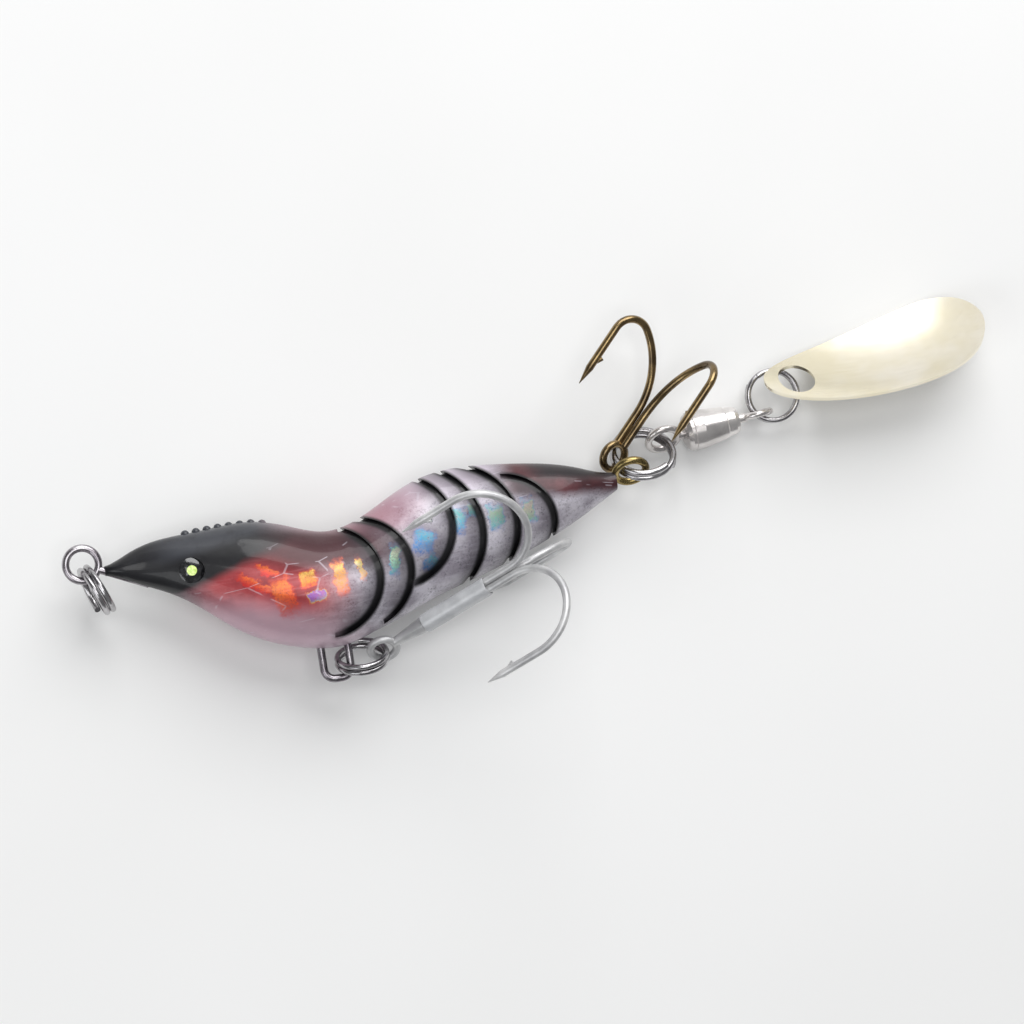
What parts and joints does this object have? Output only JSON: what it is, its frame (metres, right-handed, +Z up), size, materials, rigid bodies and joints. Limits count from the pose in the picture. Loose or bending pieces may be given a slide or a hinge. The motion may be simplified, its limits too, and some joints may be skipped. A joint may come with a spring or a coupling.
{
  "type": "tail spinner fishing lure",
  "caption": "Shrimp-shaped metal jig lying on its flank, with a belly treble hook and a rear double hook, and a ball-bearing swivel that carries a cupped spinner blade.",
  "frame": {"origin": "centre of the outline on the table the lure lies on, at table height", "axes": "+X from nose to blade, +Y from belly towards back, +Z up out of the left flank"},
  "size_m": [0.092, 0.0321, 0.0174],
  "materials": {
    "body_paint": "foiled and painted casting under clear coat",
    "eye_black": "gloss black",
    "eye_glow": "luminous pale green",
    "ring_steel": "bright nickel plating",
    "wire_steel": "drawn stainless wire",
    "tail_brass": "dull brass wire",
    "hook_tin": "matt tinned hook wire",
    "hook_bronze": "bronze lacquered hook wire",
    "sleeve_clear": "milky heat-shrink sleeve",
    "swivel_steel": "polished stainless steel",
    "ball_steel": "polished bearing steel",
    "blade_gold": "pale gold plated brass"
  },
  "bodies": {
    "lure_body": {"body_casting": "body_paint", "nose_eye_wire": "wire_steel", "belly_eye_wire": "wire_steel", "tail_eye_wire": "tail_brass", "left_eye_ring": "eye_black", "right_eye_ring": "eye_black", "left_pupil": "eye_glow", "right_pupil": "eye_glow"},
    "nose_ring": {"nose_split_ring": "ring_steel"},
    "belly_ring": {"belly_split_ring": "ring_steel"},
    "belly_treble": {"belly_hook_pair": "hook_tin", "belly_hook_single": "hook_tin", "belly_hook_sleeve": "sleeve_clear"},
    "tail_ring": {"tail_split_ring": "ring_steel"},
    "rear_hook": {"rear_double_hook": "hook_bronze"},
    "swivel_front": {"swivel_front_eye": "swivel_steel"},
    "swivel_barrel": {"swivel_barrel": "swivel_steel", "swivel_end_cap": "swivel_steel", "swivel_front_balls": "ball_steel", "swivel_rear_balls": "ball_steel"},
    "swivel_rear": {"swivel_rear_eye": "swivel_steel"},
    "blade_ring": {"blade_split_ring": "ring_steel"},
    "spinner_blade": {"spinner_blade": "blade_gold"}
  },
  "joints": [
    {"name": "nose_ring_swing", "type": "hinge", "parent": "lure_body", "child": "nose_ring", "pos_m": [-0.04357, -0.00066, 0.0046], "axis": [0.9397, 0.342, 0], "range_deg": [-95, 70]},
    {"name": "belly_ring_swing", "type": "hinge", "parent": "lure_body", "child": "belly_ring", "pos_m": [-0.0205, -0.01225, 0.0046], "axis": [0, 1, 0], "range_deg": [-36, 8]},
    {"name": "belly_hook_swing", "type": "hinge", "parent": "belly_ring", "child": "belly_treble", "pos_m": [-0.01711, -0.01157, 0.00411], "axis": [-0.309, 0.4465, -0.8397], "range_deg": [-2, 14]},
    {"name": "tail_ring_swing", "type": "hinge", "parent": "lure_body", "child": "tail_ring", "pos_m": [0.0106, 0.0014, 0.0046], "axis": [0, 0.6429, 0.7659], "range_deg": [-55, 2]},
    {"name": "rear_hook_swing", "type": "hinge", "parent": "tail_ring", "child": "rear_hook", "pos_m": [0.00797, 0.00295, 0.00309], "axis": [-0.0523, -0.7649, 0.6421], "range_deg": [-12, 85]},
    {"name": "swivel_swing", "type": "hinge", "parent": "tail_ring", "child": "swivel_front", "pos_m": [0.01324, 0.00394, 0.00192], "axis": [-0.5736, 0.6274, -0.5267], "range_deg": [-45, 75]},
    {"name": "barrel_spin", "type": "hinge", "parent": "swivel_front", "child": "swivel_barrel", "pos_m": [0.01536, 0.00415, 0.00193], "axis": [0.9951, 0.099, 0.005], "continuous": true},
    {"name": "rear_eye_spin", "type": "hinge", "parent": "swivel_barrel", "child": "swivel_rear", "pos_m": [0.02093, 0.0047, 0.00195], "axis": [0.9951, 0.099, 0.005], "continuous": true},
    {"name": "blade_ring_swing", "type": "hinge", "parent": "swivel_rear", "child": "blade_ring", "pos_m": [0.02411, 0.00502, 0.00197], "axis": [0, 0, 1], "range_deg": [-65, 8]},
    {"name": "blade_swing", "type": "hinge", "parent": "blade_ring", "child": "spinner_blade", "pos_m": [0.02689, 0.00727, 0.00217], "axis": [-0.342, 0.9397, 0], "range_deg": [-3, 75]}
  ]
}
